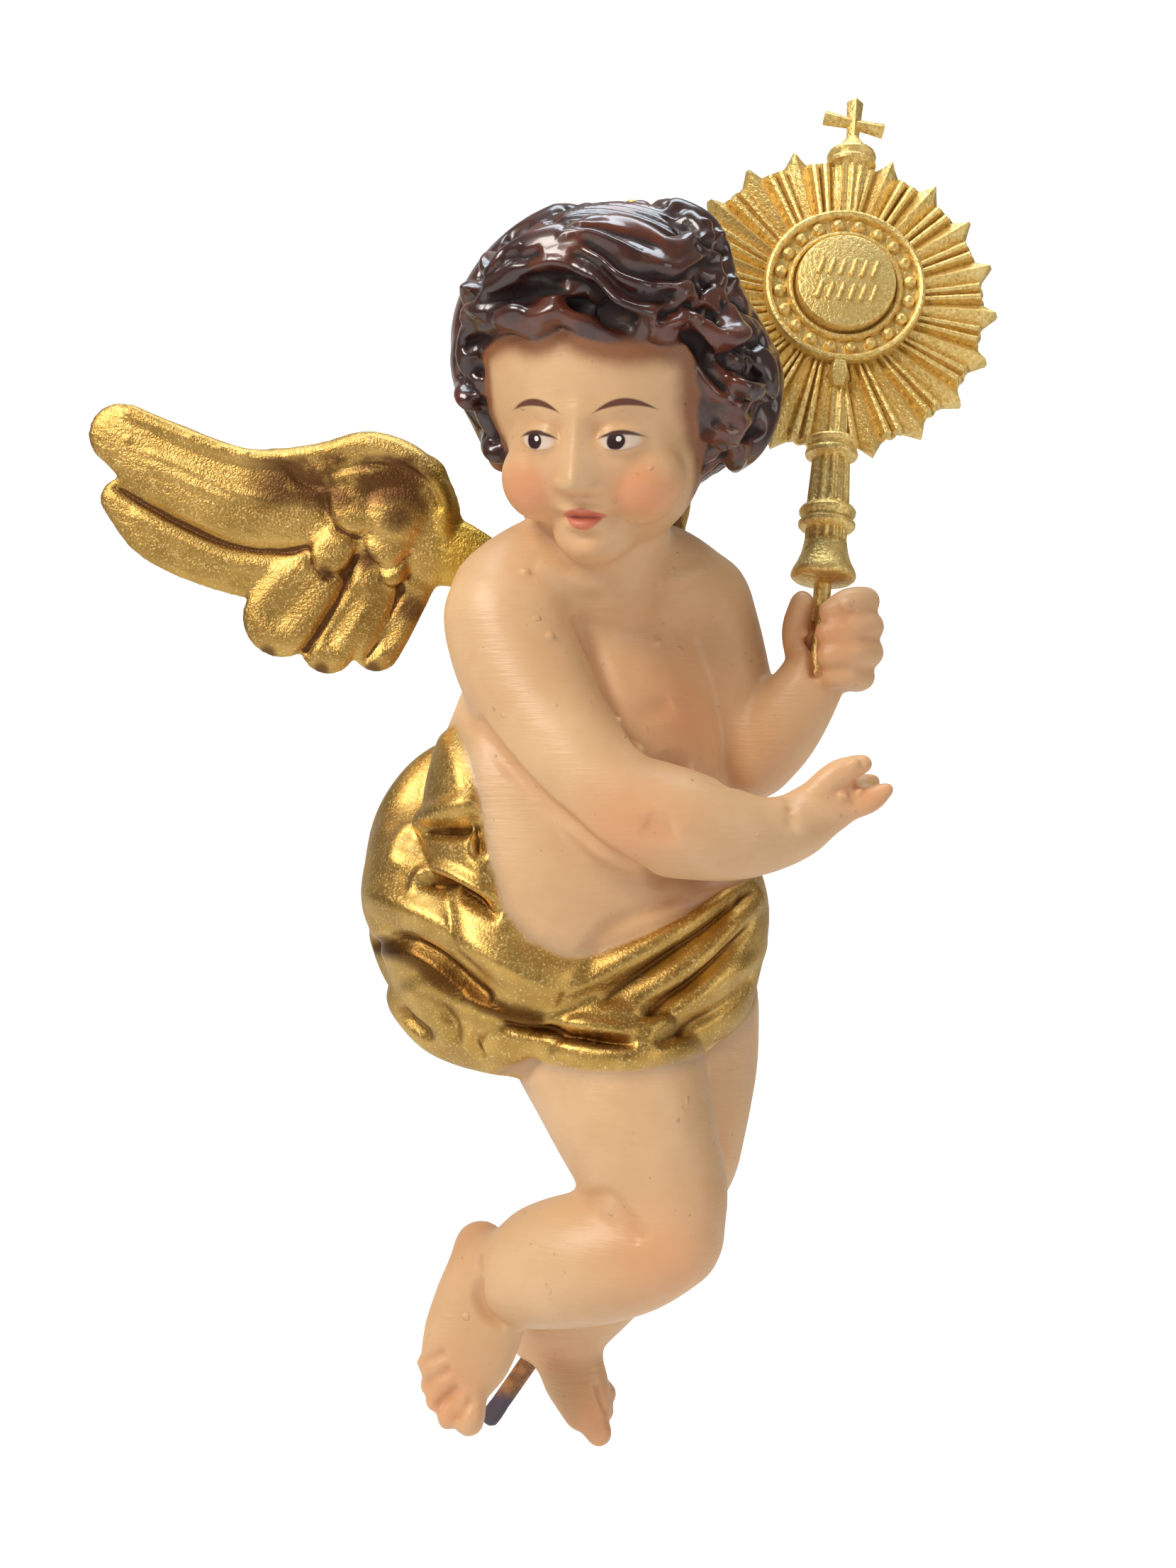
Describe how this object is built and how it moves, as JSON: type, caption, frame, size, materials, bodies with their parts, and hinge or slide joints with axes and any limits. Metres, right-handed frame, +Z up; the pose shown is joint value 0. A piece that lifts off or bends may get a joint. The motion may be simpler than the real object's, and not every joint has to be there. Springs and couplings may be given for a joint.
{
  "type": "carved cherub with sunburst monstrance",
  "caption": "Small painted and gilded cherub that hangs on a wall, with feathered wings, pointing arm, hip drapery and a sunburst monstrance in its raised fist.",
  "frame": {"origin": "centre of the flat pad on the figure's upper back, in the wall plane", "axes": "+Z up, +Y into the wall, +X to the viewer's right as the viewer faces the wall"},
  "size_m": [0.1062, 0.0393, 0.1583],
  "materials": {
    "painted_figure": "satin",
    "leaf_gold": "satin",
    "grainy_gold": "satin",
    "brown_rod": "matte"
  },
  "bodies": {
    "root": {"figure": "painted_figure", "wing_right": "leaf_gold", "wing_left": "leaf_gold", "monstrance": "grainy_gold", "peg": "brown_rod"}
  },
  "joints": []
}
